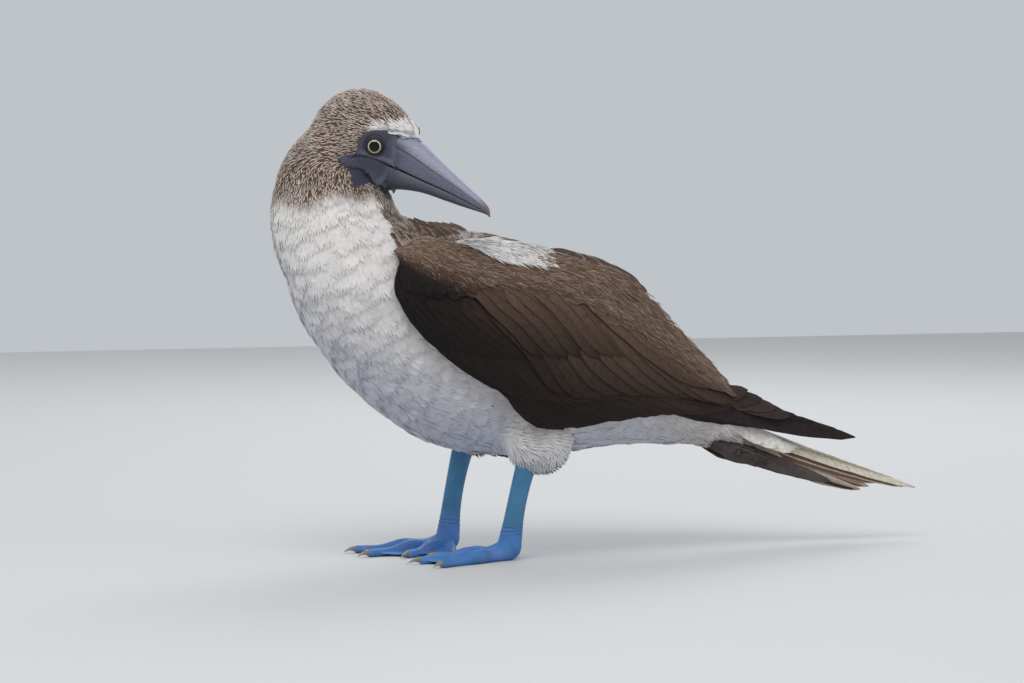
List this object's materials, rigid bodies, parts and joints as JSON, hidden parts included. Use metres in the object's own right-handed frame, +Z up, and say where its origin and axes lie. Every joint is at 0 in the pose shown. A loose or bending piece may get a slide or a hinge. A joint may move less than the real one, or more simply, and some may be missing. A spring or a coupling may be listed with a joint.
{
  "type": "blue footed booby",
  "caption": "A blue footed booby standing at rest on both webbed feet, its head turned back over its left shoulder and its wings folded.",
  "frame": {"origin": "on the floor under the middle of the bird's outline seen from above", "axes": "the body faces -X with the tail towards +X, +Y is the bird's own right side, +Z is up; the bill points to -Y and +X"},
  "size_m": [0.5824, 0.18, 0.3898],
  "materials": {
    "head_plumage": "soft streaked feathers, brown with pale tips",
    "pale_plumage": "soft white feathers",
    "wing_feathers": "dull brown feathers",
    "tail_feathers": "dull brown and cream feathers",
    "face_skin": "bare slate skin, matt",
    "bill": "horn, satin grey",
    "foot_skin": "blue scaly skin, satin",
    "claw": "horn, grey, slightly glossy",
    "eye": "wet, pale yellow with a black pupil"
  },
  "bodies": {
    "root": {"head": "head_plumage", "face": "face_skin", "upper_bill": "bill", "lower_bill": "bill", "eye_left": "eye", "eye_right": "eye", "neck": "pale_plumage", "torso": "pale_plumage", "thigh_left": "pale_plumage", "thigh_right": "pale_plumage", "tail": "tail_feathers", "wing_left": "wing_feathers", "wing_right": "wing_feathers", "leg_left": "foot_skin", "leg_right": "foot_skin", "foot_left": "foot_skin", "foot_right": "foot_skin", "claw_left_hind": "claw", "claw_left_inner": "claw", "claw_left_middle": "claw", "claw_left_outer": "claw", "claw_right_hind": "claw", "claw_right_inner": "claw", "claw_right_middle": "claw", "claw_right_outer": "claw"}
  },
  "joints": []
}
